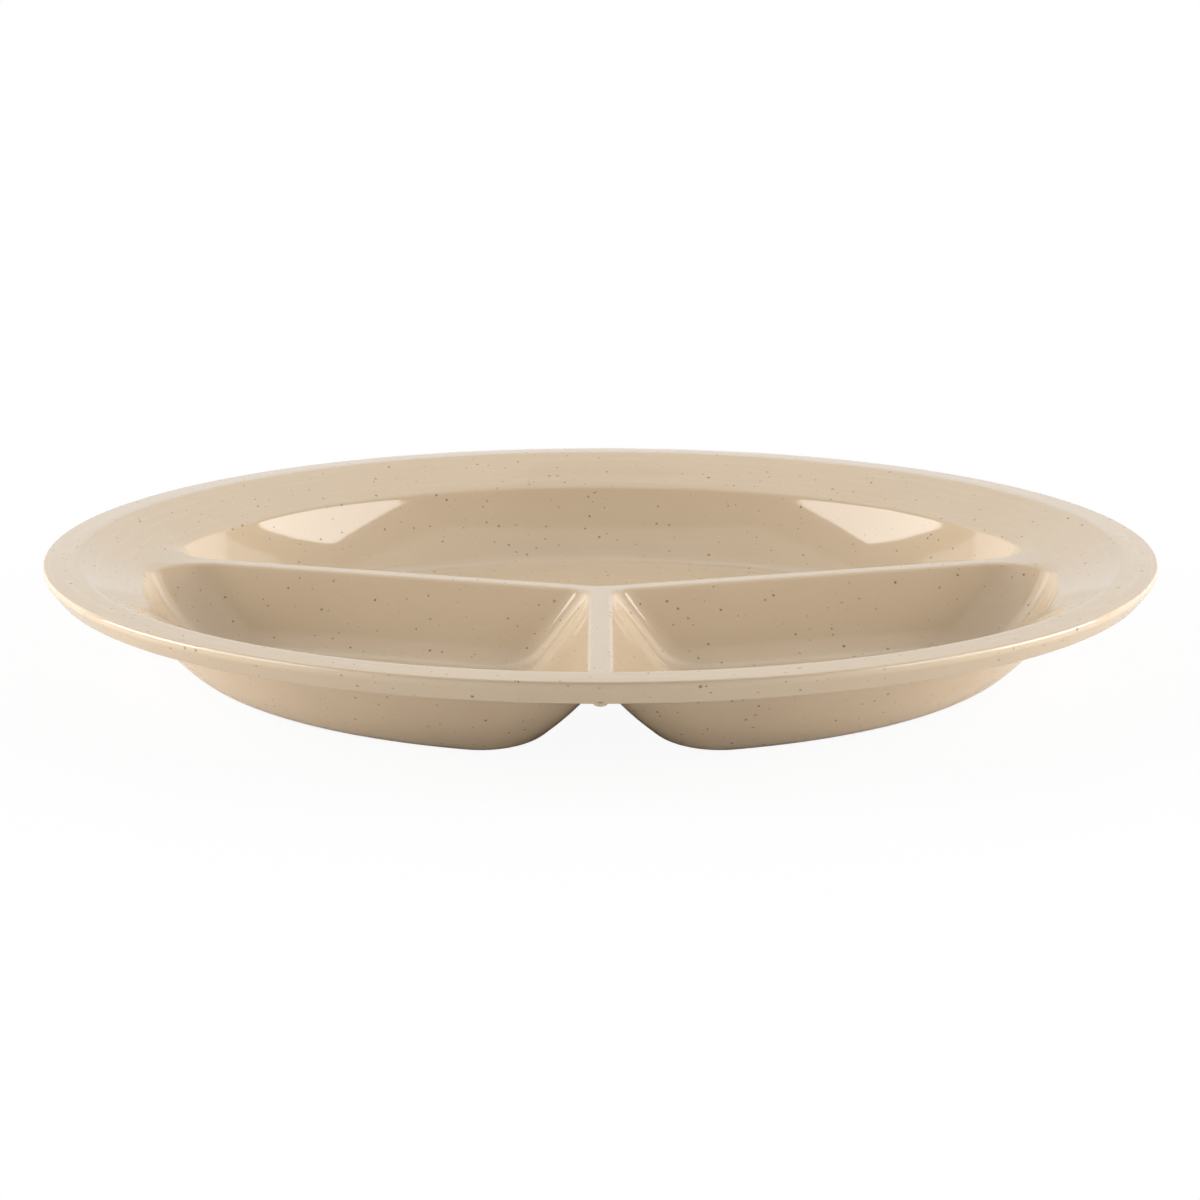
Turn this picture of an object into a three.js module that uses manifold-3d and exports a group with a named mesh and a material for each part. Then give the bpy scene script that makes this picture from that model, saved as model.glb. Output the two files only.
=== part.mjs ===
// Round compartment plate: one moulding with a raised rim, a turned-down lip and three wells, parted by
// three flat-topped dividers that meet at a hub in front of the middle.
// Millimetres and degrees. Z = 0 is the table, Z is the rim's axis, and the front divider points to -Y.
import * as THREE from 'three';
import { mergeVertices } from 'three/addons/utils/BufferGeometryUtils.js';
import Module from 'manifold-3d';

// Rim, from the outer edge inwards
const DIAMETER = 260;
const HEIGHT = 26.3; // table to the crest, before the crest is rounded
const WALL = 3.2;
const BAND_WIDTH = 8; // nearly level band between the edge and the crest
const BAND_FALL = 0.4; // fall of the band from the crest out to the edge
const SLOPE_RUN = 15; // level length of the rim's slope, from the crest in to the mouths of the wells
const RIM_RISE = 6.5; // crest above the divider tops
const CREST_ROUND = 5;
const EDGE_ROUND = 0.6;
const SLOPE_ROUND = 30; // hollow where a divider runs up into the slope

// Lip, turned down from the edge
const LIP_DEPTH = 5.4;
const LIP_FACE = 1.5; // upright upper part of the lip's outer face
const LIP_DRAW_IN = 3; // lower corner of the lip, measured in from the edge
const LIP_FOOT = 1.8; // level width under the lip
const LIP_BACK_RUN = 0.9; // level run of the lip's inner side
const LIP_ROUND = 1.5;

// Dividers and wells
const DIVIDER_TOP = 4.8;
const DIVIDER_FLAT = 1.6; // level strip on the underside of a divider
const HUB_OFFSET = 13.6; // hub in front of the rim's axis
const SIDE_DIVIDER_ANGLE = 18; // side dividers, swept back from the X axis
const RIM_WALL_DRAFT = 25.9; // a well's wall below the rim, at its mouth, from the upright
const RIM_WALL_HOLLOW = 40; // radius of that wall's hollow, from its mouth down
const DIVIDER_WALL_DRAFT = 36; // a well's wall below a divider, at its mouth, from the upright
const DIVIDER_WALL_HOLLOW = 150;
const MOUTH_ROUND = 1.8;
const FLOOR_ROUND = 11.8;
const VALLEY_ROUND = 1.5; // where a well's outer side meets the underside of a divider or of the rim
const HUB_CORNER = 8; // corner of a well at the hub, in plan, at its mouth
const HUB_CORNER_FLOOR = 9;
const RIM_CORNER = 12.5; // corner of a well at the rim, in plan, at its mouth
const RIM_CORNER_FLOOR = 8.5;

// Stacking lug under the lip at the end of each divider
const LUG_DIAMETER = 3;
const LUG_DROP = 0.6;
const LUG_ROOT = 1.6; // length of the lug inside the lip

// Facets
const ROUND_STEPS = 3; // along each rounding of a section
const WALL_STEPS = 3; // down the hollow of a well's wall
const LINE_STEPS = 4; // along a divider
const CORNER_STEPS = 6; // round a corner of a well, in plan
const WEB_STEPS = 2; // between a divider's middle and the mouth of a well
const ARC_STEP = 5; // degrees round the rim
const LUG_STEPS = 12;

const MELAMINE = { color: 0xcdb99b, roughness: 0.25, metalness: 0 };
const WELD = 1e-4;
const ROOM = 0.45; // share of a straight stretch that the rounding at one of its ends may use

const rad = THREE.MathUtils.degToRad;
const lerp = THREE.MathUtils.lerp;
const vec = (x, y) => new THREE.Vector2(x, y);
const along = (from, dir, t) => from.clone().addScaledVector(dir, t);

const edgeR = DIAMETER / 2;
const crestR = edgeR - BAND_WIDTH;
const mouthR = crestR - SLOPE_RUN;
const joinR = mouthR + SLOPE_RUN / 2; // circle where the webs of the wells meet the rim
const edgeZ = HEIGHT - BAND_FALL;
const dividerZ = HEIGHT - RIM_RISE;
const slope = Math.atan2(RIM_RISE, SLOPE_RUN);
const hub = vec(0, -HUB_OFFSET);
const lean = rad(SIDE_DIVIDER_ANGLE);
const front = vec(0, -1);
const right = vec(Math.cos(lean), Math.sin(lean));
const left = vec(-Math.cos(lean), Math.sin(lean));

// Points of a bent line whose inner corners are arcs, each shortened where its neighbours leave too little room.
function filleted(corners, radii) {
  const path = [corners[0]];
  for (let i = 1; i < corners.length - 1; i++) {
    const toLast = corners[i - 1].clone().sub(corners[i]);
    const toNext = corners[i + 1].clone().sub(corners[i]);
    const room = ROOM * Math.min(toLast.length(), toNext.length());
    toLast.normalize();
    toNext.normalize();
    const half = Math.acos(THREE.MathUtils.clamp(toLast.dot(toNext), -1, 1)) / 2;
    const reach = Math.min(radii[i - 1] / Math.tan(half), room);
    const radius = reach * Math.tan(half);
    const centre = along(corners[i], toLast.clone().add(toNext).normalize(), radius / Math.sin(half));
    const start = along(corners[i], toLast, reach).sub(centre);
    const turn = (Math.PI - 2 * half) * Math.sign(toNext.cross(toLast));
    for (let k = 0; k <= ROUND_STEPS; k++) {
      path.push(start.clone().rotateAround(vec(0, 0), (turn * k) / ROUND_STEPS).add(centre));
    }
  }
  path.push(corners[corners.length - 1]);
  return path;
}

// Points of an arc in a section, its angle running evenly from start to end. Each also says how upright the
// surface is there: 1 for an upright wall, 0 for a level one.
function sectionArc(centre, radius, start, end, steps) {
  const points = [];
  for (let k = 0; k <= steps; k++) {
    const angle = lerp(start, end, k / steps);
    const at = along(centre, vec(Math.cos(angle), Math.sin(angle)), radius);
    points.push({ at, upright: Math.abs(Math.cos(angle)) });
  }
  return points;
}

// Circle that a well's wall follows in section: distance in from the mouth's line against height. A circle too
// small to reach down to the floor grows until it does.
function hollowOf(draft, radius) {
  const least = (dividerZ - WALL) / (1 - Math.sin(draft));
  const used = Math.max(radius, least);
  return { centre: along(vec(0, dividerZ), vec(Math.cos(draft), Math.sin(draft)), used), radius: used };
}
const rimWall = hollowOf(rad(RIM_WALL_DRAFT), RIM_WALL_HOLLOW);
const dividerWall = hollowOf(rad(DIVIDER_WALL_DRAFT), DIVIDER_WALL_HOLLOW);

// Underside of a divider: one wall below its top, or as far down as the level strip needs between the wells.
const valleyReach = dividerWall.radius + WALL + VALLEY_ROUND;
const valleyRun = dividerWall.centre.x + (DIVIDER_TOP - DIVIDER_FLAT) / 2;
const valleyZ = dividerWall.centre.y - Math.sqrt(valleyReach ** 2 - valleyRun ** 2);
const underZ = Math.min(dividerZ - WALL, valleyZ + VALLEY_ROUND);

// Section of the rim: radius against height, from the axis out over the crest to the foot of the lip.
const topPath = filleted(
  [
    vec(0, dividerZ),
    vec(mouthR, dividerZ),
    vec(crestR, HEIGHT),
    vec(edgeR, edgeZ),
    vec(edgeR, edgeZ - LIP_FACE),
    vec(edgeR - LIP_DRAW_IN, edgeZ - LIP_DEPTH),
    vec(edgeR - LIP_DRAW_IN - LIP_FOOT, edgeZ - LIP_DEPTH),
    vec(edgeR - LIP_DRAW_IN - LIP_FOOT - LIP_BACK_RUN, edgeZ - WALL),
  ],
  [SLOPE_ROUND, CREST_ROUND, EDGE_ROUND, LIP_ROUND, LIP_ROUND, EDGE_ROUND],
);
const underShift = WALL * Math.tan(slope / 2);
const lowPath = filleted(
  [
    vec(0, underZ),
    vec(mouthR + underShift - (dividerZ - WALL - underZ) / Math.tan(slope), underZ),
    vec(crestR + underShift, HEIGHT - WALL),
    topPath[topPath.length - 1],
  ],
  [SLOPE_ROUND + WALL, CREST_ROUND],
);

// Height of a section at a radius, on the stretch that runs outwards from the axis.
function heightAt(path, r) {
  let i = 1;
  while (path[i].x < r) i++;
  const share = (r - path[i - 1].x) / (path[i].x - path[i - 1].x);
  return lerp(path[i - 1].y, path[i].y, share);
}

// Section of a well's wall, from its mouth down to its floor: an arc over the mouth, the hollow of the wall and
// an arc into the floor, each running into the next. The bank is the tilt of the surface that the mouth is cut
// in. The underside is the same section, drop below the bank and shift outside the wall and the floor.
function wallSection(bank, { centre, radius }, drop, shift, mouthRound) {
  const rise = WALL + FLOOR_ROUND - centre.y;
  const foot = vec(centre.x - Math.sqrt((radius - FLOOR_ROUND) ** 2 - rise ** 2), WALL + FLOOR_ROUND);
  const outward = vec(-Math.cos(bank), Math.sin(bank));
  const near = along(vec(0, dividerZ), vec(-Math.sin(bank), -Math.cos(bank)), drop + mouthRound);
  const gap = near.clone().sub(centre);
  const run = gap.dot(outward);
  const reach = radius + shift + mouthRound;
  const over = along(near, outward, Math.sqrt(run ** 2 - gap.lengthSq() + reach ** 2) - run);
  const facing = centre.clone().sub(over).angle();
  const meeting = foot.clone().sub(centre).angle();
  return [
    ...sectionArc(over, mouthRound, Math.PI / 2 - bank, facing, ROUND_STEPS),
    ...sectionArc(centre, radius + shift, Math.PI + facing, meeting, WALL_STEPS).slice(1),
    ...sectionArc(foot, FLOOR_ROUND + shift, meeting, 1.5 * Math.PI, ROUND_STEPS).slice(1),
  ];
}

// Outline of a well at one height, anticlockwise from the hub's end of its first divider. Each point also says
// how far it belongs to the rim's side: 0 along the dividers, 1 along the rim, eased round the corners.
function wellOutline(dirA, dirB, insetA, arcRadius, hubCorner, rimCorner, arcSteps) {
  const inA = vec(-dirA.y, dirA.x);
  const inB = vec(dirB.y, -dirB.x);
  const rimCentre = (dir, inward) => {
    const base = along(hub, inward, insetA + rimCorner);
    const run = base.dot(dir);
    return along(base, dir, Math.sqrt(run * run - base.lengthSq() + (arcRadius - rimCorner) ** 2) - run);
  };
  const centreA = rimCentre(dirA, inA);
  const centreB = rimCentre(dirB, inB);
  const middle = dirA.clone().add(dirB).normalize();
  const halfAngle = Math.acos(dirA.dot(dirB)) / 2;
  const centreHub = along(hub, middle, (insetA + hubCorner) / Math.sin(halfAngle));
  const points = [];
  const addLine = (from, to, steps) => {
    for (let k = 0; k < steps; k++) points.push({ at: from.clone().lerp(to, k / steps), share: 0 });
  };
  const addArc = (centre, radius, from, to, steps, shareFrom, shareTo) => {
    const start = from.clone().sub(centre).angle();
    const turn = THREE.MathUtils.euclideanModulo(to.clone().sub(centre).angle() - start, 2 * Math.PI);
    for (let k = 0; k < steps; k++) {
      const angle = start + (turn * k) / steps;
      const at = along(centre, vec(Math.cos(angle), Math.sin(angle)), radius);
      points.push({ at, share: lerp(shareFrom, shareTo, THREE.MathUtils.smoothstep(k / steps, 0, 1)) });
    }
  };
  const startA = along(centreHub, inA, -hubCorner);
  const endA = along(centreA, inA, -rimCorner);
  const startB = along(centreHub, inB, -hubCorner);
  const endB = along(centreB, inB, -rimCorner);
  const arcA = centreA.clone().setLength(arcRadius);
  const arcB = centreB.clone().setLength(arcRadius);
  addLine(startA, endA, LINE_STEPS);
  addArc(centreA, rimCorner, endA, arcA, CORNER_STEPS, 0, 1);
  addArc(vec(0, 0), arcRadius, arcA, arcB, arcSteps, 1, 1);
  addArc(centreB, rimCorner, arcB, endB, CORNER_STEPS, 1, 0);
  addLine(endB, startB, LINE_STEPS);
  addArc(centreHub, hubCorner, startB, startA, CORNER_STEPS, 0, 0);
  return points;
}

// Rows of a well's surface from its mouth to its floor: inside, where the shift is 0, or on the underside.
function wellRows(dirA, dirB, arcSteps, dividerDrop, shift, mouthRound) {
  const dividerSide = wallSection(0, dividerWall, dividerDrop, shift, mouthRound);
  const rimSide = wallSection(slope, rimWall, shift, shift, mouthRound);
  return dividerSide.map(({ at: low, upright }, row) => {
    const high = rimSide[row].at;
    const depth = THREE.MathUtils.clamp((dividerZ - low.y) / (dividerZ - WALL), 0, 1);
    const hubCorner = lerp(HUB_CORNER, HUB_CORNER_FLOOR, depth) + shift * upright;
    const rimCorner = lerp(RIM_CORNER, RIM_CORNER_FLOOR, depth) + shift * upright;
    const inset = DIVIDER_TOP / 2 + low.x;
    const outline = wellOutline(dirA, dirB, inset, mouthR - high.x, hubCorner, rimCorner, arcSteps);
    return outline.map(({ at, share }) => new THREE.Vector3(at.x, at.y, lerp(low.y, high.y, share)));
  });
}

// Where a divider's middle line reaches a circle about the rim's axis.
function onRay(dir, radius) {
  const run = hub.dot(dir);
  return along(hub, dir, Math.sqrt(run * run - hub.lengthSq() + radius * radius) - run);
}

// Limit of a well's web, point for point beside its outline: out along the middle of the first divider, round
// the circle that joins the rim, and back along the second divider to the hub.
function webLimit(dirA, dirB, arcSteps) {
  const raySteps = LINE_STEPS + CORNER_STEPS / 2;
  const ringSteps = arcSteps + CORNER_STEPS;
  const endA = onRay(dirA, joinR);
  const endB = onRay(dirB, joinR);
  const turn = THREE.MathUtils.euclideanModulo(endB.angle() - endA.angle(), 2 * Math.PI);
  const limit = [];
  for (let k = 0; k < raySteps; k++) limit.push(hub.clone().lerp(endA, k / raySteps));
  for (let k = 0; k < ringSteps; k++) limit.push(endA.clone().rotateAround(vec(0, 0), (turn * k) / ringSteps));
  for (let k = raySteps; k > 0; k--) limit.push(hub.clone().lerp(endB, k / raySteps));
  for (let k = 0; k < CORNER_STEPS; k++) limit.push(hub);
  return { limit, ring: limit.slice(raySteps, raySteps + ringSteps) };
}

// Rows of the web between its limit and the mouth of a well. The web follows the rim's section and eases
// into the mouth's first row with the cube of the way across.
function webRows(limit, mouth, path) {
  const rows = [];
  for (let step = 0; step < WEB_STEPS; step++) {
    const t = step / WEB_STEPS;
    rows.push(
      limit.map((from, i) => {
        const flat = from.clone().lerp(mouth[i], t);
        const ease = (mouth[i].z - heightAt(path, Math.hypot(mouth[i].x, mouth[i].y))) * t ** 3;
        return new THREE.Vector3(flat.x, flat.y, heightAt(path, flat.length()) + ease);
      }),
    );
  }
  return rows;
}

// Closed surface, gathered from bands of rings and from fans that close a ring.
const corners = [];
function addTriangle(a, b, c) {
  corners.push(a, b, c);
}
function addBand(rows, outward) {
  for (let i = 0; i < rows.length - 1; i++) {
    for (let j = 0; j < rows[i].length; j++) {
      const next = (j + 1) % rows[i].length;
      const [a, b, c, d] = [rows[i][j], rows[i][next], rows[i + 1][next], rows[i + 1][j]];
      if (outward) {
        addTriangle(a, b, c);
        addTriangle(a, c, d);
      } else {
        addTriangle(a, c, b);
        addTriangle(a, d, c);
      }
    }
  }
}
function addFan(ring, outward) {
  const middle = ring.reduce((sum, p) => sum.add(p), new THREE.Vector3()).divideScalar(ring.length);
  ring.forEach((p, i) => {
    const next = ring[(i + 1) % ring.length];
    if (outward) addTriangle(p, next, middle);
    else addTriangle(p, middle, next);
  });
}

const ringPoints = [];
for (const [dirA, dirB] of [[right, left], [left, front], [front, right]]) {
  const sweep = onRay(dirB, mouthR).angle() - onRay(dirA, mouthR).angle();
  const arcSteps = Math.round(THREE.MathUtils.euclideanModulo(sweep, 2 * Math.PI) / rad(ARC_STEP));
  const inside = wellRows(dirA, dirB, arcSteps, 0, 0, MOUTH_ROUND);
  const underside = wellRows(dirA, dirB, arcSteps, dividerZ - underZ, WALL, VALLEY_ROUND);
  const { limit, ring } = webLimit(dirA, dirB, arcSteps);
  addBand([...webRows(limit, inside[0], topPath), ...inside], true);
  addFan(inside[inside.length - 1], true);
  addBand([...webRows(limit, underside[0], lowPath), ...underside], false);
  addFan(underside[underside.length - 1], false);
  ringPoints.push(...ring);
}

// Rim: its section beyond the joining circle, turned round the axis.
const rimSection = [
  vec(joinR, heightAt(topPath, joinR)),
  ...topPath.slice(topPath.findIndex((p) => p.x > joinR)),
  ...lowPath.filter((p) => p.x > joinR).slice(0, -1).reverse(),
  vec(joinR, heightAt(lowPath, joinR)),
];
const rimRow = ({ x: radius, y: height }) =>
  ringPoints.map((q) => new THREE.Vector3((q.x * radius) / joinR, (q.y * radius) / joinR, height));
addBand(rimSection.map(rimRow), false);

const wasm = await Module();
wasm.setup();

// Solid of a closed surface: alike points are merged, and triangles that shrink to a line are left out.
function solidOf(geometry) {
  const merged = mergeVertices(geometry, WELD);
  const kept = [];
  const index = merged.index.array;
  for (let i = 0; i < index.length; i += 3) {
    const [a, b, c] = index.subarray(i, i + 3);
    if (a !== b && b !== c && c !== a) kept.push(a, b, c);
  }
  const vertProperties = merged.attributes.position.array;
  return new wasm.Manifold(new wasm.Mesh({ numProp: 3, vertProperties, triVerts: new Uint32Array(kept) }));
}

// Round-ended lug, turned about Z, with its shoulder at Z = 0.
function lugGeometry() {
  const radius = LUG_DIAMETER / 2;
  const profile = [];
  for (let k = 0; k <= ROUND_STEPS; k++) {
    const angle = (Math.PI / 2) * (k / ROUND_STEPS);
    profile.push(vec(radius * Math.sin(angle), -LUG_DROP * Math.cos(angle)));
  }
  profile.push(vec(radius, LUG_ROOT), vec(0, LUG_ROOT));
  const lug = new THREE.LatheGeometry(profile, LUG_STEPS);
  lug.deleteAttribute('normal');
  lug.deleteAttribute('uv');
  return lug.rotateX(Math.PI / 2);
}

let solid = solidOf(new THREE.BufferGeometry().setFromPoints(corners));
for (const dir of [front, right, left]) {
  const place = onRay(dir, edgeR - LIP_DRAW_IN - LIP_FOOT / 2);
  solid = solid.add(solidOf(lugGeometry().translate(place.x, place.y, edgeZ - LIP_DEPTH)));
}

const { vertProperties, triVerts } = solid.getMesh();
const plateGeometry = new THREE.BufferGeometry();
plateGeometry.setAttribute('position', new THREE.BufferAttribute(vertProperties, 3));
plateGeometry.setIndex(new THREE.BufferAttribute(triVerts, 1));
plateGeometry.computeVertexNormals();

const plate = new THREE.Mesh(plateGeometry, new THREE.MeshStandardMaterial(MELAMINE));
plate.name = 'plate';

const part = new THREE.Group();
part.add(plate);

export default part;
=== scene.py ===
"""Speckled melamine compartment plate on a pale studio floor."""

import bpy
import numpy as np
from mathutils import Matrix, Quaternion, Vector


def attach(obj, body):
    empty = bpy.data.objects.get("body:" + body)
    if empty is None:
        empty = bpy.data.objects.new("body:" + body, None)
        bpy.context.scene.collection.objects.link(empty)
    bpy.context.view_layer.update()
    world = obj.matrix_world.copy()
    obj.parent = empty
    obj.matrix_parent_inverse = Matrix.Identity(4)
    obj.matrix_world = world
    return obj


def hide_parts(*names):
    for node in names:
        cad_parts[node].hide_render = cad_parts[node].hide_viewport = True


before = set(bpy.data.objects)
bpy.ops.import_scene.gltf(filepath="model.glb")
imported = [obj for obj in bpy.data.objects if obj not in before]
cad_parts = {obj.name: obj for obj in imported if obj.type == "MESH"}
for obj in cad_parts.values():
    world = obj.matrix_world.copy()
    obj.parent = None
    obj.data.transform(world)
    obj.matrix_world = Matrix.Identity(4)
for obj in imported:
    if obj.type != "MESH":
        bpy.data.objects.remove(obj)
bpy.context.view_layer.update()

bl_info = {
    "name": "Compartment plate",
    "version": (1, 0, 0),
    "blender": (4, 5, 0),
    "location": "View3D > Sidebar > Plate",
    "description": "Builds a speckled melamine compartment plate with its studio stage",
    "category": "Object",
}

BODY = "root"
NODE = "plate"
FINISH = "melamine_speckled"
ACROSS = "across"

# Share of the shorter stretch beside a corner that its arc may take.
ROOM = 0.45
# Points closer than this, in metres, are one point.
WELD = 2e-7
# How far a lug's root reaches up into the lip, in metres.
LUG_ROOT = 0.0012

# Features per metre of the resin's clouds, the surface's long waves, its fine grain and the flecks' ragged outlines.
CLOUDS, WAVES, GRAIN, WOBBLE = 38.0, 120.0, 900.0, 1500.0
# Where the clouds start in their noise, and how sharply they rise. Below, the same of the painted sheen along the
# lines.
CLOUD_FROM, CLOUD_GAIN = 0.35, 2.2
SHEEN_FROM, SHEEN_GAIN = 0.55, 3.0
# Lines per metre of the way across, which carry both small bumps and a painted sheen, and how far the clouds make them
# wander.
SHEEN_AND_BUMP_LINES, LINE_WANDER = 1400.0, 6.0
# The lines, both bumps and painted sheen, show from this upward share of the normal on, and fully after this much
# more.
LEVEL_FROM, LEVEL_SPAN = 0.6, 0.3

# Smallest and largest radius of the coarse and of the fine flecks, and how far their outlines stray, in metres.
COARSE, FINE, STRAY = (0.00016, 0.0005), (0.00007, 0.0002), 0.0004
# Moves that keep the two patterns of flecks apart, in metres.
COARSE_MOVE, FINE_MOVE = 0.13, 0.41
# Spacing and darkness of the fine flecks, as shares of the coarse ones'.
FINE_GAP, FINE_SHARE = 0.6, 0.6
# Most that a fleck covers of the resin, its soft edge as a share of its radius, and its least darkness.
FLECK_COVER, FLECK_EDGE, FAINTEST = 0.85, 0.5, 0.3

# Roughness that the grain and the flecks add, and the melamine's index of refraction.
GRAIN_ROUGH, FLECK_ROUGH, REFRACTION = 0.03, 0.06, 1.66
# Strength and depth in metres of the surface's unevenness, and the lines' share in it.
BUMP, BUMP_DEPTH, LINE_BUMP = 0.06, 0.0004, 0.25

# Half the floor's width, in metres, its paper's grey, and how much it darkens beside the plate.
FLOOR_HALF, PAPER, FLOOR_SHADE = 6.0, 0.9, 0.06
# Where the light panels hang, in metres: out to the sides, behind, overhead, and the top of the low ones.
SIDE_AWAY, BACK_AWAY, CEILING, LOW_HEIGHT = 0.9, 0.85, 1.2, 0.4
SIDE_ROLL = np.radians(7)


def length(name, description, default):
    """A size, in metres."""
    return bpy.props.FloatProperty(name=name, description=description, default=default, unit="LENGTH")


def angle(name, description, degrees):
    """An angle, given in degrees and kept in radians."""
    return bpy.props.FloatProperty(name=name, description=description, default=np.radians(degrees), subtype="ANGLE")


def point(name, description, default):
    """A point, in metres."""
    return bpy.props.FloatVectorProperty(
        name=name, description=description, default=default, size=3, subtype="TRANSLATION")


def colour(name, description, default):
    """A linear colour."""
    return bpy.props.FloatVectorProperty(
        name=name, description=description, default=default, size=3, subtype="COLOR", min=0, max=1)


def portion(name, description, default):
    """A share between 0 and 1."""
    return bpy.props.FloatProperty(
        name=name, description=description, default=default, min=0, max=1, subtype="FACTOR")


def brightness(name, description, default):
    """A brightness, 0 or more."""
    return bpy.props.FloatProperty(name=name, description=description, default=default, min=0)


class PlateSizes(bpy.types.PropertyGroup):
    """Sizes of the moulding."""

    diameter: length("Diameter", "Across the rim's edge", 0.26)
    height: length("Height", "Crest of the rim above the table", 0.0263)
    wall: length("Wall", "Thickness of the moulding", 0.0032)
    band_width: length("Band width", "Nearly level band from the edge in to the crest", 0.008)
    band_fall: length("Band fall", "Fall of the band from the crest out to the edge", 0.0004)
    slope_run: length("Slope run", "Level length of the rim's slope", 0.015)
    rim_rise: length("Rim rise", "Crest above the divider tops", 0.0065)
    crest_round: length("Crest rounding", "Radius over the crest", 0.005)
    edge_round: length("Edge rounding", "Radius of the rim's edge", 0.0006)
    slope_round: length("Slope rounding", "Hollow where a divider runs up into the slope", 0.03)
    lip_depth: length("Lip depth", "Edge of the band to the foot of the lip", 0.0054)
    lip_face: length("Lip face", "Upright upper part of the lip", 0.0015)
    lip_draw_in: length("Lip draw-in", "Lower corner of the lip, in from the edge", 0.003)
    lip_foot: length("Lip foot", "Level width under the lip", 0.0018)
    lip_back_run: length("Lip back run", "Level run of the lip's inner side", 0.0009)
    lip_round: length("Lip rounding", "Radius at the foot of the lip", 0.0015)
    divider_top: length("Divider top", "Width of a divider's top", 0.0048)
    divider_flat: length("Divider flat", "Level strip on the underside of a divider", 0.0016)
    hub_offset: length("Hub offset", "Meeting point of the dividers, in front of the middle", 0.0136)
    side_angle: angle("Side divider angle", "Side dividers, swept back from the X axis", 18.0)
    rim_draft: angle("Rim wall draft", "Wells' walls under the rim, at the mouth, from the upright", 25.9)
    rim_hollow: length("Rim wall hollow", "Radius of the hollow down those walls", 0.04)
    divider_draft: angle("Divider wall draft", "Wells' walls under a divider, at the mouth, from the upright", 36.0)
    divider_hollow: length("Divider wall hollow", "Radius of the hollow down those walls", 0.15)
    mouth_round: length("Mouth rounding", "Radius at the mouth of a well", 0.0018)
    floor_round: length("Floor rounding", "Radius between a wall and its floor", 0.0118)
    valley_round: length("Valley rounding", "Radius under a divider", 0.0015)
    hub_corner: length("Hub corner", "Corner of a well at the hub, at its mouth", 0.008)
    hub_corner_floor: length("Hub corner, floor", "Corner of a well at the hub, at its floor", 0.009)
    rim_corner: length("Rim corner", "Corner of a well at the rim, at its mouth", 0.0125)
    rim_corner_floor: length("Rim corner, floor", "Corner of a well at the rim, at its floor", 0.0085)
    lug_diameter: length("Lug diameter", "Stacking lug under the lip", 0.003)
    lug_drop: length("Lug drop", "Lug below the foot of the lip", 0.0006)


class PlateFinish(bpy.types.PropertyGroup):
    """Colours and gloss of the melamine, and the colour of its painted sheen lines."""

    resin: colour("Resin", "Colour of the melamine", (0.675, 0.53, 0.367))
    resin_warm: colour("Warm resin", "Colour of its warmer clouds", (0.65, 0.505, 0.345))
    # Painted sheen: a lighter colour along the lines on level stretches, standing for reflected light, and how plainly
    # it shows.
    sheen_colour: colour("Polish line", "Colour of the fine lines left by the mould's polish", (0.74, 0.6, 0.44))
    sheen_strength: portion("Polish lines", "How plainly the polish lines show", 0.75)
    fleck: colour("Fleck", "Colour of the dark flecks", (0.12, 0.075, 0.045))
    gloss: portion("Roughness", "Roughness of the polished surface", 0.07)
    fleck_gap: length("Fleck spacing", "Usual distance between dark flecks inside the resin", 0.0026)


class PlateStage(bpy.types.PropertyGroup):
    """Camera and light."""

    eye: point("Camera", "Where the camera stands", (0.0, -0.97797, 0.23469))
    aim: point("Aim", "Point that the camera looks at", (-0.0001, 0.0, 0.0139))
    lens: bpy.props.FloatProperty(
        name="Lens", description="Focal length on a 36 mm sensor, in millimetres", default=127.7, min=10)
    side_glow: brightness("Side panels", "Brightness of the high panel on each side", 4.2)
    low_glow: brightness("Low panels", "Brightness of the low panel on each side", 9.0)
    front_glow: brightness("Low front panels", "Brightness of the low panel before each of those", 2.7)
    corner_glow: brightness("Corner panels", "Brightness of the low panel behind each side", 0.69)
    back_glow: brightness("Back panel", "Brightness of the wide panel behind", 0.82)
    overhead_glow: brightness("Overhead panel", "Brightness of the panel overhead", 0.4)
    fill: brightness("Fill", "Strength of the light from all round", 0.02)


def bent_line(corners, radii, steps):
    """Points of a bent line whose inner corners are arcs.

    An arc of radius r at a corner with half angle h starts r / tan(h) before the corner, or as far as ROOM of the
    shorter stretch allows, and turns evenly about a centre on the corner's bisector."""
    corners = np.asarray(corners, float)
    path = [corners[:1]]
    for last, at, following, radius, count in zip(corners, corners[1:], corners[2:], radii, steps):
        back, on = last - at, following - at
        room = ROOM * min(np.hypot(*back), np.hypot(*on))
        back, on = back / np.hypot(*back), on / np.hypot(*on)
        half = np.arccos(np.clip(back @ on, -1, 1)) / 2
        reach = min(radius / np.tan(half), room)
        radius = reach * np.tan(half)
        middle = (back + on) / np.hypot(*(back + on))
        centre = at + middle * radius / np.sin(half)
        start = at + back * reach - centre
        turn = (np.pi - 2 * half) * np.sign(on[0] * back[1] - on[1] * back[0])
        a = turn * np.linspace(0, 1, count + 1)
        cos, sin = np.cos(a), np.sin(a)
        path.append(centre + np.stack([start[0] * cos - start[1] * sin, start[0] * sin + start[1] * cos], -1))
    path.append(corners[-1:])
    return np.concatenate(path)


def section_arc(centre, radius, start, end, steps):
    """Points of an arc: centre + radius * (cos, sin) of an angle that runs evenly from start to end.

    The third column is |cos|: 1 where the surface is upright, 0 where it is level."""
    a = np.linspace(start, end, steps + 1)
    return np.stack([centre[0] + radius * np.cos(a), centre[1] + radius * np.sin(a), np.abs(np.cos(a))], -1)


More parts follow.
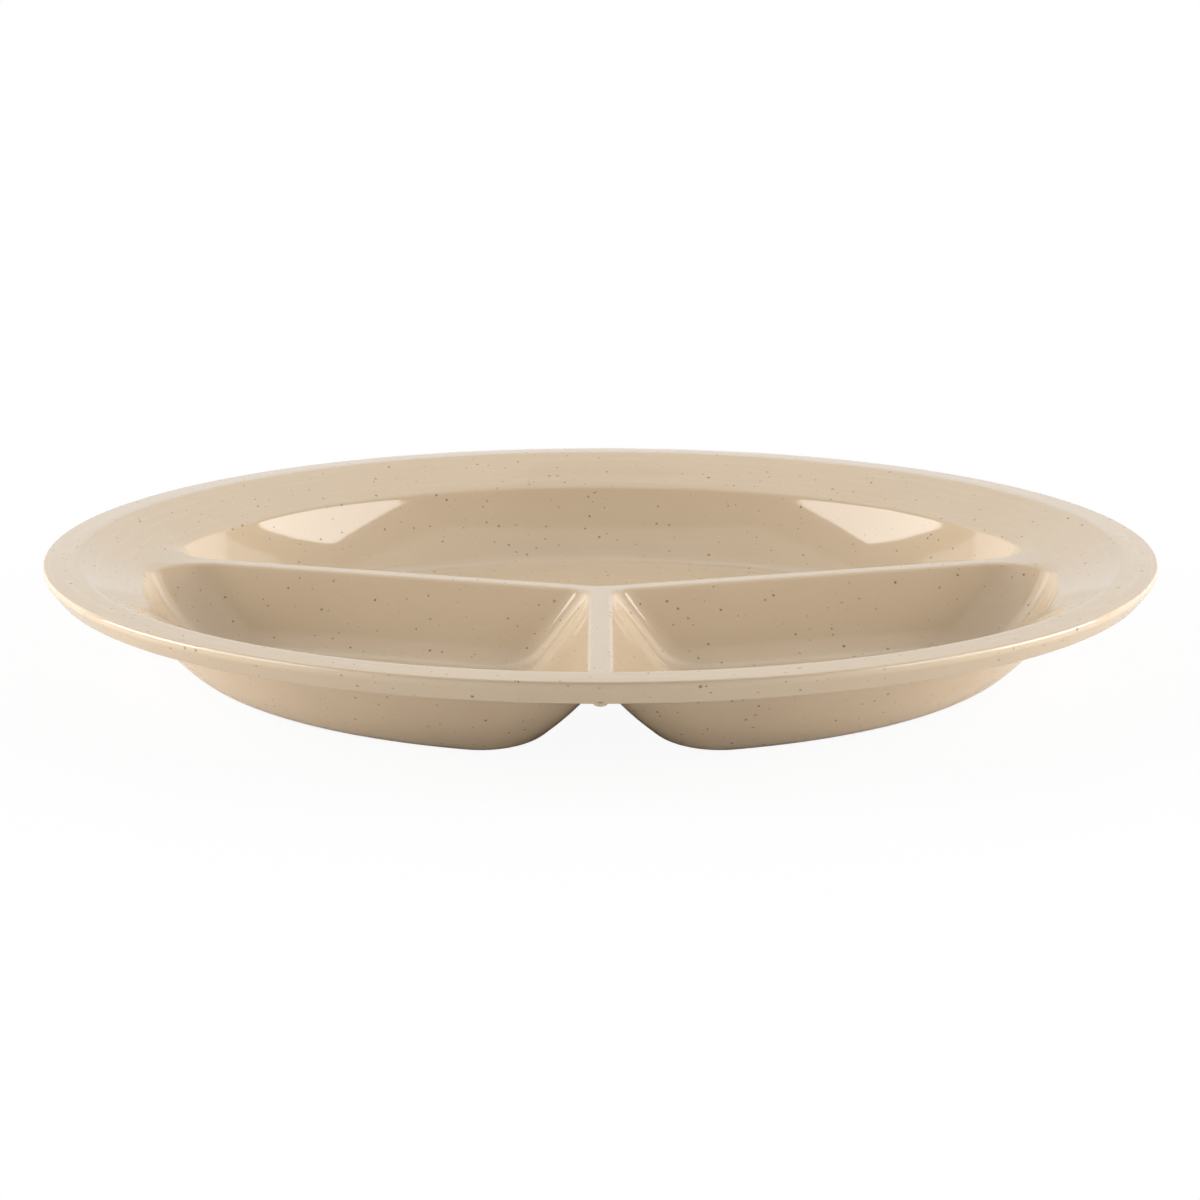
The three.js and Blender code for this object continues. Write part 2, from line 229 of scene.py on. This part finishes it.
def row_arc(centre, radius, start, end, steps):
    """Anticlockwise arcs, one a row: centre + radius * (cos, sin) of an angle that runs evenly from start to end."""
    s, e = start - centre, end - centre
    begin = np.arctan2(s[:, 1], s[:, 0])
    turn = (np.arctan2(e[:, 1], e[:, 0]) - begin) % (2 * np.pi)
    a = begin[:, None] + turn[:, None] * np.arange(steps) / steps
    return centre[:, None] + radius[:, None, None] * np.stack([np.cos(a), np.sin(a)], -1)


def row_line(start, end, steps):
    """Straight lines, one a row, evenly divided from start to end."""
    return start[:, None] + (end - start)[:, None] * (np.arange(steps) / steps)[None, :, None]


def turned(section, angles, centre=(0.0, 0.0)):
    """Grid of a section of radii and heights, turned about an upright axis: one row a point, one column an angle."""
    r = section[:, :1]
    heights = np.repeat(section[:, 1:], len(angles), 1)
    return np.stack([centre[0] + r * np.cos(angles), centre[1] + r * np.sin(angles), heights], -1)


def ease(t):
    """Smooth step from 0 to 1: 3 t^2 - 2 t^3."""
    return t * t * (3 - 2 * t)


class Moulding:
    """Sections and grids of the plate, worked out from its sizes, in metres."""

    # Columns along a divider, round a corner at the rim and round the corner at the hub; rows over a web and a floor.
    LINE, CORNER, HUB, WEB, FILL = 32, 24, 24, 6, 8
    ARC_STEP = np.radians(1.5)
    # Steps of the arcs in the rim's upper and lower sections, and over a well's mouth, wall and floor rounding.
    TOP_STEPS, LOW_STEPS = (24, 16, 8, 8, 8, 6), (24, 12)
    MOUTH_STEPS, WALL_STEPS, FLOOR_STEPS = 8, 16, 20
    # A floor's rings draw together towards its middle with this power.
    FLOOR_POWER = 1.4

    def __init__(self, p):
        self.p = p
        self.edge_r = p.diameter / 2
        self.crest_r = self.edge_r - p.band_width
        self.mouth_r = self.crest_r - p.slope_run
        self.join_r = self.mouth_r + p.slope_run / 2
        self.edge_z = p.height - p.band_fall
        self.divider_z = p.height - p.rim_rise
        self.slope = np.arctan2(p.rim_rise, p.slope_run)
        self.hub = np.array([0.0, -p.hub_offset])
        c, s = np.cos(p.side_angle), np.sin(p.side_angle)
        self.front, self.right, self.left = np.array([0.0, -1.0]), np.array([c, s]), np.array([-c, s])
        self.lip_z = self.edge_z - p.lip_depth
        lip_r = self.edge_r - p.lip_draw_in
        back_r = lip_r - p.lip_foot
        end = (back_r - p.lip_back_run, self.edge_z - p.wall)
        self.lug_r = lip_r - p.lip_foot / 2
        self.top = bent_line(
            [(0, self.divider_z), (self.mouth_r, self.divider_z), (self.crest_r, p.height), (self.edge_r, self.edge_z),
             (self.edge_r, self.edge_z - p.lip_face), (lip_r, self.lip_z), (back_r, self.lip_z), end],
            [p.slope_round, p.crest_round, p.edge_round, p.lip_round, p.lip_round, p.edge_round],
            self.TOP_STEPS)
        hollow = self.hollow(p.divider_draft, p.divider_hollow)
        reach = p.divider_hollow + p.wall + p.valley_round
        run = hollow[0] + (p.divider_top - p.divider_flat) / 2
        valley_z = hollow[1] - np.sqrt(reach ** 2 - run ** 2) + p.valley_round
        self.under_z = min(self.divider_z - p.wall, valley_z)
        shift = p.wall * np.tan(self.slope / 2)
        start = self.mouth_r + shift - (self.divider_z - p.wall - self.under_z) / np.tan(self.slope)
        self.low = bent_line(
            [(0, self.under_z), (start, self.under_z), (self.crest_r + shift, p.height - p.wall), end],
            [p.slope_round + p.wall, p.crest_round], self.LOW_STEPS)

    def hollow(self, draft, radius):
        """Centre of the circle that a well's wall follows: it leaves the mouth at the draft from the upright."""
        return np.array([radius * np.cos(draft), self.divider_z + radius * np.sin(draft)])

    def height(self, path, r):
        """Height of a rim section at radius r, on its stretch that runs outwards."""
        count = int(np.argmax(path[:, 0])) + 1
        return np.interp(r, path[:count, 0], path[:count, 1])

    def wall_section(self, bank, draft, radius, drop, shift, mouth_round):
        """Wall of a well from its mouth to its floor: distance in from the mouth's line, height, and uprightness.

        Three arcs that run into one another: over the mouth, down the hollow wall and into the level floor. On the
        underside the wall and floor arcs grow by shift about their own centres, and the mouth's arc touches the wall's
        arc from outside and the bank's underside, which is drop below the bank."""
        p = self.p
        hollow = self.hollow(draft, radius)
        rise = p.wall + p.floor_round - hollow[1]
        foot = hollow + np.array([-np.sqrt((radius - p.floor_round) ** 2 - rise ** 2), rise])
        below, out = -np.array([np.sin(bank), np.cos(bank)]), np.array([-np.cos(bank), np.sin(bank)])
        near = np.array([0.0, self.divider_z]) + (drop + mouth_round) * below
        gap = (near - hollow) @ out
        reach = radius + shift + mouth_round
        over = near + out * (np.sqrt(gap ** 2 - (near - hollow) @ (near - hollow) + reach ** 2) - gap)
        facing = np.arctan2(*(hollow - over)[::-1])
        meeting = np.pi + np.arctan2(*(hollow - foot)[::-1])
        return np.concatenate([
            section_arc(over, mouth_round, np.pi / 2 - bank, facing, self.MOUTH_STEPS),
            section_arc(hollow, radius + shift, np.pi + facing, meeting, self.WALL_STEPS)[1:],
            section_arc(foot, p.floor_round + shift, meeting, 1.5 * np.pi, self.FLOOR_STEPS)[1:]])

    def well_outline(self, a, b, inset, arc_r, hub_corner, rim_corner, arc):
        """Outlines of a well, one a row, anticlockwise from the hub's end of divider a.

        Two lines parallel to the dividers, a circle about the rim's axis, and an arc tangent to its neighbours at
        each of the three corners. Also the share of each column that belongs to the rim's side."""
        in_a, in_b = np.array([-a[1], a[0]]), np.array([b[1], -b[0]])
        col = lambda x: np.asarray(x)[:, None]

        def rim_centre(d, inward):
            base = self.hub + col(inset + rim_corner) * inward
            run = base @ d
            return base + col(np.sqrt(run ** 2 - (base ** 2).sum(1) + (arc_r - rim_corner) ** 2) - run) * d

        centre_a, centre_b = rim_centre(a, in_a), rim_centre(b, in_b)
        middle = (a + b) / np.hypot(*(a + b))
        centre_h = self.hub + col((inset + hub_corner) / np.sin(np.arccos(a @ b) / 2)) * middle
        start_a, end_a = centre_h - col(hub_corner) * in_a, centre_a - col(rim_corner) * in_a
        start_b, end_b = centre_h - col(hub_corner) * in_b, centre_b - col(rim_corner) * in_b
        arc_a = centre_a / col(np.hypot(*centre_a.T)) * col(arc_r)
        arc_b = centre_b / col(np.hypot(*centre_b.T)) * col(arc_r)
        xy = np.concatenate([
            row_line(start_a, end_a, self.LINE),
            row_arc(centre_a, rim_corner, end_a, arc_a, self.CORNER),
            row_arc(np.zeros_like(centre_a), arc_r, arc_a, arc_b, arc),
            row_arc(centre_b, rim_corner, arc_b, end_b, self.CORNER),
            row_line(end_b, start_b, self.LINE),
            row_arc(centre_h, hub_corner, start_b, start_a, self.HUB)], axis=1)
        up = ease(np.arange(self.CORNER) / self.CORNER)
        line = np.zeros(self.LINE)
        share = np.concatenate([line, up, np.ones(arc), 1 - up, line, np.zeros(self.HUB)])
        return xy, share

    def well_rows(self, a, b, arc, drop, shift, mouth_round):
        """Grid of a well's surface: rows go from the mouth to the floor, columns round the well."""
        p = self.p
        divider_side = self.wall_section(0.0, p.divider_draft, p.divider_hollow, drop, shift, mouth_round)
        rim_side = self.wall_section(self.slope, p.rim_draft, p.rim_hollow, shift, shift, mouth_round)
        inset, low, upright = divider_side.T
        deep = np.clip((self.divider_z - low) / (self.divider_z - p.wall), 0, 1)
        hub_corner = p.hub_corner + (p.hub_corner_floor - p.hub_corner) * deep + shift * upright
        rim_corner = p.rim_corner + (p.rim_corner_floor - p.rim_corner) * deep + shift * upright
        arc_r = self.mouth_r - rim_side[:, 0]
        xy, share = self.well_outline(a, b, p.divider_top / 2 + inset, arc_r, hub_corner, rim_corner, arc)
        z = low[:, None] * (1 - share) + rim_side[:, 1:2] * share
        return np.concatenate([xy, z[..., None]], -1)

    def on_ray(self, d, r):
        """Where a divider's middle line reaches the circle of radius r."""
        run = self.hub @ d
        return self.hub + d * (np.sqrt(run ** 2 - self.hub @ self.hub + r ** 2) - run)

    def web_limit(self, a, b, arc):
        """Out along divider a, round the joining circle and back along b to the hub, and the circle's angles."""
        ray = self.LINE + self.CORNER // 2
        ring = arc + self.CORNER
        end_a, end_b = self.on_ray(a, self.join_r), self.on_ray(b, self.join_r)
        out = np.linspace(0, 1, ray + 1)[:, None]
        begin = np.arctan2(end_a[1], end_a[0])
        turn = (np.arctan2(end_b[1], end_b[0]) - begin) % (2 * np.pi)
        angles = begin + turn * np.arange(ring) / ring
        limit = np.concatenate([
            self.hub + (end_a - self.hub) * out[:-1],
            self.join_r * np.stack([np.cos(angles), np.sin(angles)], -1),
            self.hub + (end_b - self.hub) * out[:0:-1],
            np.repeat(self.hub[None], self.HUB, 0)])
        return limit, angles

    def web_rows(self, limit, mouth, path):
        """Grid between the web's limit and a well's mouth: it follows the rim's section, and the last bit of height
        is eased in with the cube of the way across."""
        t = (np.arange(self.WEB) / self.WEB)[:, None, None]
        xy = limit * (1 - t) + mouth[:, :2] * t
        off = mouth[:, 2] - self.height(path, np.hypot(*mouth[:, :2].T))
        z = self.height(path, np.hypot(xy[..., 0], xy[..., 1])) + off * t[..., 0] ** 3
        return np.concatenate([xy, z[..., None]], -1)

    def floor_rows(self, ring):
        """Grid of a floor: the ring shrinks evenly onto its middle."""
        t = (np.arange(1, self.FILL + 1) / self.FILL)[:, None, None] ** self.FLOOR_POWER
        return ring * (1 - t) + ring.mean(0) * t

    def grids(self):
        """Every grid of the closed shell, each with True where its columns and rows turn towards the outside."""
        p = self.p
        made, angles = [], []
        for a, b in ((self.right, self.left), (self.left, self.front), (self.front, self.right)):
            ends = [np.arctan2(*self.on_ray(d, self.mouth_r)[::-1]) for d in (a, b)]
            arc = int(round(((ends[1] - ends[0]) % (2 * np.pi)) / self.ARC_STEP))
            limit, ring = self.web_limit(a, b, arc)
            angles.append(ring)
            for path, drop, shift, mouth_round, outward in (
                    (self.top, 0.0, 0.0, p.mouth_round, True),
                    (self.low, self.divider_z - self.under_z, p.wall, p.valley_round, False)):
                rows = self.well_rows(a, b, arc, drop, shift, mouth_round)
                web, fill = self.web_rows(limit, rows[0], path), self.floor_rows(rows[-1])
                made.append((np.concatenate([web, rows, fill]), outward))
        angles = np.concatenate(angles)
        out = self.top[np.argmax(self.top[:, 0] > self.join_r):]
        home = self.low[self.low[:, 0] > self.join_r][:-1][::-1]
        first, last = [(self.join_r, self.height(path, self.join_r)) for path in (self.top, self.low)]
        section = np.concatenate([[first], out, home, [last]])
        made.append((turned(section, angles), False))
        return made


def grid_faces(rows, cols, first, outward):
    """Quads of a grid whose columns close on themselves, numbered from first."""
    i, j = np.meshgrid(np.arange(rows - 1), np.arange(cols), indexing="ij")
    k = (j + 1) % cols
    here, there = i * cols, (i + 1) * cols
    quads = np.stack([here + j, here + k, there + k, there + j], -1).reshape(-1, 4) + first
    return quads if outward else quads[:, ::-1]


def way_across(grid):
    """Way from a grid's first row to each of its rows: the mean gaps between rows, added up, the same along a row."""
    gaps = np.linalg.norm(np.diff(grid, axis=0), axis=-1).mean(1)
    return np.repeat(np.concatenate([[0.0], np.cumsum(gaps)]), grid.shape[1])


def closed_mesh(name, grids):
    """One mesh of several grids. Alike points are joined, and quads that shrink become triangles or go.

    Each point keeps the way across its grid, for finishes that follow the form."""
    points = np.concatenate([g.reshape(-1, 3) for g, _ in grids])
    across = np.concatenate([way_across(g) for g, _ in grids])
    starts = np.cumsum([0] + [g.shape[0] * g.shape[1] for g, _ in grids])
    quads = np.concatenate([grid_faces(g.shape[0], g.shape[1], s, o) for (g, o), s in zip(grids, starts)])
    whole = np.round(points / WELD).astype(np.int64)
    _, first, same = np.unique(whole, axis=0, return_index=True, return_inverse=True)
    quads = same.reshape(-1)[quads]
    faces = []
    double = quads == np.roll(quads, -1, 1)
    faces += quads[double.sum(1) == 0].tolist()
    for at in range(4):
        faces += np.delete(quads[(double.sum(1) == 1) & double[:, at]], at, 1).tolist()
    mesh = bpy.data.meshes.new(name)
    mesh.from_pydata(points[first], [], faces)
    mesh.polygons.foreach_set("use_smooth", np.ones(len(mesh.polygons), bool))
    kept = mesh.attributes.new(ACROSS, "FLOAT", "POINT")
    kept.data.foreach_set("value", across[first].astype(np.float32))
    mesh.update()
    return mesh


def add_piece(mesh, finish):
    """An object for the mesh at the origin, in its finish, riding on the plate's body and standing for its node."""
    piece = bpy.data.objects.new(mesh.name, mesh)
    bpy.context.scene.collection.objects.link(piece)
    mesh.materials.append(finish)
    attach(piece, BODY)
    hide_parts(NODE)


class Sock:
    """A shader socket that takes part in Python arithmetic: each operation adds a Math node."""

    def __init__(self, shader, out):
        self.shader, self.out = shader, out

    def _math(self, operation, *values):
        return Sock(self.shader, self.shader.node("ShaderNodeMath", {"operation": operation}, *values).outputs[0])

    def __add__(self, other):
        return self._math("ADD", self, other)

    def __radd__(self, other):
        return self._math("ADD", other, self)

    def __sub__(self, other):
        return self._math("SUBTRACT", self, other)

    def __rsub__(self, other):
        return self._math("SUBTRACT", other, self)

    def __mul__(self, other):
        return self._math("MULTIPLY", self, other)

    def __rmul__(self, other):
        return self._math("MULTIPLY", other, self)

    def __truediv__(self, other):
        return self._math("DIVIDE", self, other)

    def top(self, other):
        return self._math("MAXIMUM", self, other)

    def least(self, other):
        return self._math("MINIMUM", self, other)

    def clip(self):
        return self.least(1.0).top(0.0)


class Shader:
    """The node tree of a new material or world, with one way to add any node."""

    def __init__(self, owner):
        self.owner = owner
        owner.use_nodes = True
        self.tree = owner.node_tree
        self.tree.nodes.clear()

    def node(self, kind, settings=None, *values, **named):
        """Adds a node, sets its settings, then sets or links its inputs in order or by name."""
        made = self.tree.nodes.new(kind)
        for key, value in (settings or {}).items():
            setattr(made, key, value)
        by_name = [(key.replace("_", " "), value) for key, value in named.items()]
        for key, value in [*enumerate(values), *by_name]:
            if isinstance(value, Sock):
                self.tree.links.new(value.out, made.inputs[key])
            elif value is not None:
                made.inputs[key].default_value = value
        return made

    def sock(self, node, output=0):
        """An output of a node, by number or name."""
        return Sock(self, node.outputs[output])

    def noise(self, where, scale, detail, **more):
        """Noise node over a place, with so many features a metre."""
        return self.node("ShaderNodeTexNoise", None, Vector=where, Scale=scale, Detail=detail, **more)

    def vector(self, operation, *values):
        """Vector Math node."""
        return self.node("ShaderNodeVectorMath", {"operation": operation}, *values)

    def blend(self, share, first, second):
        """Colour between first and second."""
        other_types = [None] * 5
        made = self.node("ShaderNodeMix", {"data_type": "RGBA"}, share, *other_types, first, second)
        return self.sock(made, 2)

    def end(self, surface, kind="ShaderNodeOutputMaterial"):
        """Links the surface to the output and hands back the material or world."""
        self.node(kind, None, self.sock(surface))
        return self.owner


def flecks(s, where, gap, radii, seed):
    """Share of fleck at a point: 1 inside a round grain about each cell's own point, with a soft edge.

    Each cell of a 3-D Voronoi pattern has one grain, whose radius and darkness come from the cell's own colour."""
    smallest, largest = radii
    moved = s.sock(s.vector("ADD", where, (seed, -seed, 0.5 * seed)))
    cells = s.node("ShaderNodeTexVoronoi", {"voronoi_dimensions": "3D", "feature": "F1"}, Vector=moved, Scale=1 / gap)
    tint = s.node("ShaderNodeSeparateColor", None, s.sock(cells, "Color"))
    distance = s.sock(cells, "Distance") * gap
    radius = smallest + (largest - smallest) * s.sock(tint, 0)
    edge = ((radius - distance) / (FLECK_EDGE * radius)).clip()
    return edge * (FAINTEST + (1 - FAINTEST) * s.sock(tint, 1))


def sheen_and_bump_lines(s, cloud):
    """Fine lines that follow the form: noise of the way across, bent by the clouds. They make small bumps, as left by
    the mould's polish, and they carry a painted sheen, lighter streaks that stand for reflected light on level
    stretches.

    Also how level the surface is, because the lines show on level stretches: 0 on the walls, 1 on the floors."""
    across = s.sock(s.node("ShaderNodeAttribute", {"attribute_name": ACROSS}), "Fac")
    line = s.sock(s.node("ShaderNodeCombineXYZ", None, across * SHEEN_AND_BUMP_LINES, cloud * LINE_WANDER))
    lines = s.node("ShaderNodeTexNoise", {"noise_dimensions": "2D"}, Vector=line, Scale=1.0, Detail=2.0, Roughness=0.6)
    upward = s.node("ShaderNodeSeparateXYZ", None, s.sock(s.node("ShaderNodeNewGeometry"), "Normal"))
    return s.sock(lines), ((s.sock(upward, 2) - LEVEL_FROM) / LEVEL_SPAN).clip()


def melamine(f):
    """Polished speckled melamine: a cloudy cream resin with dark grains of two sizes under a clear gloss, and painted
    sheen, lighter streaks that stand for reflected light on level stretches.
    """
    s = Shader(bpy.data.materials.new(FINISH))
    place = s.sock(s.node("ShaderNodeTexCoord"), "Object")
    cloud = s.sock(s.noise(place, CLOUDS, 3.0, Roughness=0.55))
    grain = s.sock(s.noise(place, GRAIN, 2.0, Roughness=0.6))
    wave = s.sock(s.noise(place, WAVES, 2.0))
    resin = s.blend(((cloud - CLOUD_FROM) * CLOUD_GAIN).clip(), (*f.resin, 1), (*f.resin_warm, 1))
    wobble = s.sock(s.noise(place, WOBBLE, 1.0), "Color")
    bent = s.sock(s.vector("MULTIPLY_ADD", wobble, (STRAY,) * 3, place))
    coarse = flecks(s, bent, f.fleck_gap, COARSE, COARSE_MOVE)
    fine = flecks(s, bent, f.fleck_gap * FINE_GAP, FINE, FINE_MOVE)
    dark = (coarse + fine * FINE_SHARE).clip()
    lines, level = sheen_and_bump_lines(s, cloud)
    # Painted sheen: a lighter colour along the lines where the surface is level, standing for reflected light.
    sheen_strength = ((lines - SHEEN_FROM) * SHEEN_GAIN).clip() * level * f.sheen_strength
    resin_and_sheen = s.blend(sheen_strength, resin, (*f.sheen_colour, 1))
    speckled = s.blend(dark * FLECK_COVER, resin_and_sheen, (*f.fleck, 1))
    rough = f.gloss + (grain - 0.5) * GRAIN_ROUGH + dark * FLECK_ROUGH
    uneven = wave + lines * level * LINE_BUMP
    bump = s.sock(s.node("ShaderNodeBump", None, Strength=BUMP, Distance=BUMP_DEPTH, Height=uneven))
    surface = s.node("ShaderNodeBsdfPrincipled", None, Base_Color=speckled, Roughness=rough, Normal=bump)
    surface.inputs["IOR"].default_value = REFRACTION
    return s.end(surface)


def studio_floor(reach):
    """Pale matt floor that the camera and reflections see as white, with the plate's shadow kept near it.

    Nearness falls smoothly from 1 at the plate's edge to 0 at twice its reach."""
    s = Shader(bpy.data.materials.new("studio_floor"))
    path = s.node("ShaderNodeLightPath")
    away = s.sock(s.vector("LENGTH", s.sock(s.node("ShaderNodeTexCoord"), "Object")), "Value")
    smooth = {"interpolation_type": "SMOOTHSTEP"}
    near = s.sock(s.node("ShaderNodeMapRange", smooth, away, reach, 2 * reach, 1.0, 0.0))
    camera = s.sock(path, "Is Camera Ray") * (1.0 - FLOOR_SHADE * near)
    mirror = s.sock(path, "Is Glossy Ray").top(s.sock(path, "Is Transmission Ray")) * (1.0 - near)
    paper = s.node("ShaderNodeBsdfDiffuse", None, Color=(PAPER, PAPER, PAPER, 1))
    white = s.node("ShaderNodeEmission", None, Color=(1, 1, 1, 1), Strength=1.0)
    return s.end(s.node("ShaderNodeMixShader", None, camera.top(mirror), s.sock(paper), s.sock(white)))


def studio_world(fill):
    """Surroundings that the camera sees as white and that light the plate faintly from all round."""
    s = Shader(bpy.data.worlds.new("studio_world"))
    seen = s.sock(s.node("ShaderNodeLightPath"), "Is Camera Ray")
    sky = s.node("ShaderNodeBackground", None, Color=(1, 1, 1, 1), Strength=fill)
    white = s.node("ShaderNodeBackground", None, Color=(1, 1, 1, 1), Strength=1.0)
    both = s.node("ShaderNodeMixShader", None, seen, s.sock(sky), s.sock(white))
    return s.end(both, "ShaderNodeOutputWorld")


class PLATE_OT_shell(bpy.types.Operator):
    """Build the plate's moulded shell with its rim, lip, dividers and wells."""

    bl_idname = "plate.shell"
    bl_label = "Moulded shell"

    def execute(self, context):
        grids = Moulding(context.scene.plate_sizes).grids()
        add_piece(closed_mesh("plate_shell", grids), melamine_of(context))
        return {"FINISHED"}


class PLATE_OT_lugs(bpy.types.Operator):
    """Build the round-ended stacking lugs under the lip, one at the end of each divider."""

    bl_idname = "plate.lugs"
    bl_label = "Stacking lugs"

    def execute(self, context):
        p = context.scene.plate_sizes
        m = Moulding(p)
        radius = p.lug_diameter / 2
        down = np.radians(np.linspace(0, 90, 13))
        profile = np.concatenate([
            np.stack([radius * np.sin(down), -p.lug_drop * np.cos(down)], -1),
            [(radius, LUG_ROOT), (0, LUG_ROOT)]]) + (0, m.lip_z)
        angles = np.radians(np.arange(0, 360, 10))
        grids = [(turned(profile, angles, m.on_ray(d, m.lug_r)), False) for d in (m.front, m.right, m.left)]
        add_piece(closed_mesh("stacking_lugs", grids), melamine_of(context))
        return {"FINISHED"}


def melamine_of(context):
    """The plate's finish, made once and shared by its pieces."""
    return bpy.data.materials.get(FINISH) or melamine(context.scene.plate_finish)


def panel(name, place, facing, size, glow, roll=0.0):
    """A flat light panel at place that faces a direction, rolled about it. Its power is brightness * pi * area."""
    lamp = bpy.data.lights.new(name, "AREA")
    lamp.shape = "RECTANGLE"
    lamp.size, lamp.size_y = size
    lamp.energy = glow * np.pi * size[0] * size[1]
    made = bpy.data.objects.new(name, lamp)
    made.location = place
    turn = Vector(facing).to_track_quat("-Z", "Y") @ Quaternion((0, 0, 1), roll)
    made.rotation_euler = turn.to_euler()
    made.visible_camera = False
    bpy.context.scene.collection.objects.link(made)


def studio_panels(t):
    """Four panels on each side, and one behind and one above them all."""
    mid = LOW_HEIGHT / 2
    for side, name in ((-1, "left"), (1, "right")):
        out = SIDE_AWAY * side
        panel(name + "_panel", (0.906 * side, -0.135, 0.683), (-side, -0.11, 0), (0.936, 0.565), t.side_glow,
              side * SIDE_ROLL)
        panel(name + "_low_panel", (out, 0.1, mid), (-side, 0, 0), (0.5, LOW_HEIGHT), t.low_glow)
        panel(name + "_front_panel", (out, -0.55, mid), (-side, 0, 0), (0.8, LOW_HEIGHT), t.front_glow)
        panel(name + "_corner_panel", (out, 0.8, 0.3), (0, -1, 0), (0.85, 0.58), t.corner_glow)
    panel("back_panel", (0, BACK_AWAY, CEILING / 2), (0, -1, 0), (2.6, 1.18), t.back_glow)
    panel("overhead_panel", (0, 0.3, CEILING), (0, 0, -1), (1.3, 1.1), t.overhead_glow)


def studio_camera(t):
    """Camera at its stand, turned to its aim."""
    lens = bpy.data.cameras.new("camera")
    lens.sensor_width = 36.0
    lens.lens = t.lens
    camera = bpy.data.objects.new("camera", lens)
    camera.location = t.eye
    camera.rotation_euler = (Vector(t.aim) - Vector(t.eye)).to_track_quat("-Z", "Y").to_euler()
    bpy.context.scene.collection.objects.link(camera)
    return camera


class PLATE_OT_stage(bpy.types.Operator):
    """Set up the floor, the soft studio light, the white surroundings and the camera."""

    bl_idname = "plate.stage"
    bl_label = "Studio stage"

    def execute(self, context):
        scene, t = context.scene, context.scene.plate_stage
        h = FLOOR_HALF
        mesh = bpy.data.meshes.new("studio_floor")
        mesh.from_pydata([(-h, -h, 0), (h, -h, 0), (h, h, 0), (-h, h, 0)], [], [(0, 1, 2, 3)])
        floor = bpy.data.objects.new("studio_floor", mesh)
        mesh.materials.append(studio_floor(scene.plate_sizes.diameter / 2))
        scene.collection.objects.link(floor)
        studio_panels(t)
        scene.world = studio_world(t.fill)
        scene.camera = studio_camera(t)
        scene.view_settings.view_transform = "Standard"
        return {"FINISHED"}


class PLATE_PT_build(bpy.types.Panel):
    """Buttons and sizes of the compartment plate."""

    bl_label = "Compartment plate"
    bl_idname = "PLATE_PT_build"
    bl_space_type = "VIEW_3D"
    bl_region_type = "UI"
    bl_category = "Plate"

    def draw(self, context):
        for operator in OPERATORS:
            self.layout.operator(operator.bl_idname)
        for group in (context.scene.plate_sizes, context.scene.plate_finish, context.scene.plate_stage):
            box = self.layout.box()
            for name in group.__annotations__:
                box.prop(group, name)


OPERATORS = (PLATE_OT_shell, PLATE_OT_lugs, PLATE_OT_stage)
CLASSES = (PlateSizes, PlateFinish, PlateStage, *OPERATORS, PLATE_PT_build)


def register():
    for cls in CLASSES:
        bpy.utils.register_class(cls)
    bpy.types.Scene.plate_sizes = bpy.props.PointerProperty(type=PlateSizes)
    bpy.types.Scene.plate_finish = bpy.props.PointerProperty(type=PlateFinish)
    bpy.types.Scene.plate_stage = bpy.props.PointerProperty(type=PlateStage)


def unregister():
    del bpy.types.Scene.plate_stage
    del bpy.types.Scene.plate_finish
    del bpy.types.Scene.plate_sizes
    for cls in reversed(CLASSES):
        bpy.utils.unregister_class(cls)


def main():
    register()
    bpy.ops.plate.shell()
    bpy.ops.plate.lugs()
    bpy.ops.plate.stage()


if __name__ == "__main__":
    main()
